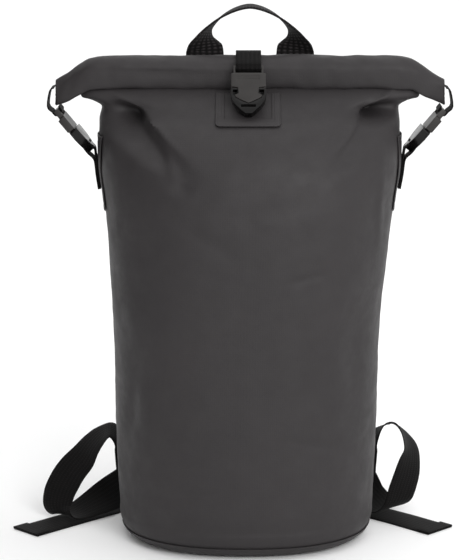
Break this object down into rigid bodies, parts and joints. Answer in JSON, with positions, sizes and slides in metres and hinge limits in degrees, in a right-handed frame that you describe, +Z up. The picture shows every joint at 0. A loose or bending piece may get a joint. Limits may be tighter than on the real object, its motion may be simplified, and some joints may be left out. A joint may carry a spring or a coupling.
{
  "type": "waterproof backpack",
  "caption": "Roll-top waterproof backpack standing on its base: rolled mouth held by a front strap and two side buckles, grab handle, padded shoulder straps and lower adjusting webbing.",
  "frame": {"origin": "on the floor, under the middle of the flat base", "axes": "+Z up to the rolled mouth, -Y to the front with the centre buckle, +X to the right as seen from the front"},
  "size_m": [0.4538, 0.2439, 0.5355],
  "materials": {
    "coated_fabric": "matt coated tarpaulin",
    "webbing": "woven polyamide webbing",
    "padded_fabric": "padded strap covered in matt fabric",
    "moulded_plastic": "satin moulded acetal"
  },
  "bodies": {
    "root": {"anchor_patch_left": "coated_fabric", "anchor_patch_right": "coated_fabric", "back_yoke": "coated_fabric", "bag_body": "coated_fabric", "base_panel": "coated_fabric", "end_loop_left": "webbing", "end_loop_right": "webbing", "front_buckle_female": "moulded_plastic", "front_buckle_male": "moulded_plastic", "front_patch": "coated_fabric", "front_strap": "webbing", "front_tab": "webbing", "handle": "webbing", "ladder_lock_left": "moulded_plastic", "ladder_lock_right": "moulded_plastic", "lower_webbing_left": "webbing", "lower_webbing_right": "webbing", "roll_top": "coated_fabric", "shoulder_strap_left": "padded_fabric", "shoulder_strap_right": "padded_fabric", "side_buckle_female_left": "moulded_plastic", "side_buckle_female_right": "moulded_plastic", "side_buckle_male_left": "moulded_plastic", "side_buckle_male_right": "moulded_plastic", "side_patch_left": "coated_fabric", "side_patch_right": "coated_fabric", "side_tab_left": "webbing", "side_tab_right": "webbing", "strap_tab_left": "webbing", "strap_tab_right": "webbing"}
  },
  "joints": []
}
